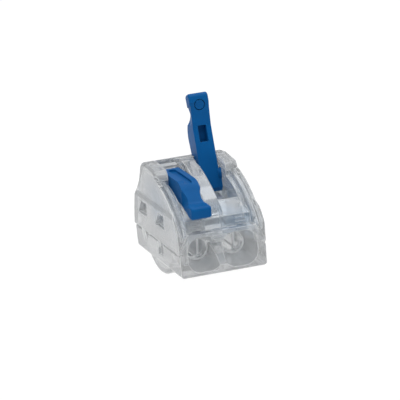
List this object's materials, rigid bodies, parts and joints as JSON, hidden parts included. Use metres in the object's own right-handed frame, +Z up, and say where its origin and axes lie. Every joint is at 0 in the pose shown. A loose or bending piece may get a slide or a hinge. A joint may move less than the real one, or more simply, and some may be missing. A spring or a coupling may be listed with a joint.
{
  "type": "lever wire connector",
  "caption": "Clear two-pole splicing connector: funnel wire entries in the front, blue levers on top that open a sprung cage clamp over a common busbar.",
  "frame": {"origin": "under the middle of the connector, at the lowest point of its round belly", "axes": "+X across the two poles to the right, -Y out of the wire entries, +Z up towards the levers"},
  "size_m": [0.0136, 0.0208, 0.0256],
  "materials": {
    "clear_base": "clear moulded plastic",
    "clear_hood": "clear moulded plastic",
    "blue_plastic": "satin moulded plastic",
    "tinned_copper": "tin plated copper alloy",
    "spring_steel": "stainless spring steel"
  },
  "bodies": {
    "housing": {"base_housing": "clear_base", "hood": "clear_hood", "busbar": "tinned_copper", "clamp_spring_left": "spring_steel", "clamp_spring_right": "spring_steel"},
    "left_lever": {"lever_left": "blue_plastic"},
    "right_lever": {"lever_right": "blue_plastic"}
  },
  "joints": [
    {"name": "lever_left_hinge", "type": "hinge", "parent": "housing", "child": "left_lever", "pos_m": [-0.00285, 0.0019, 0.01335], "axis": [-1, 0, 0], "range_deg": [0, 114], "deforming": ["clamp_spring_left"]},
    {"name": "lever_right_hinge", "type": "hinge", "parent": "housing", "child": "right_lever", "pos_m": [0.00285, 0.0019, 0.01335], "axis": [-1, 0, 0], "range_deg": [-114, 0], "deforming": ["clamp_spring_right"]}
  ]
}
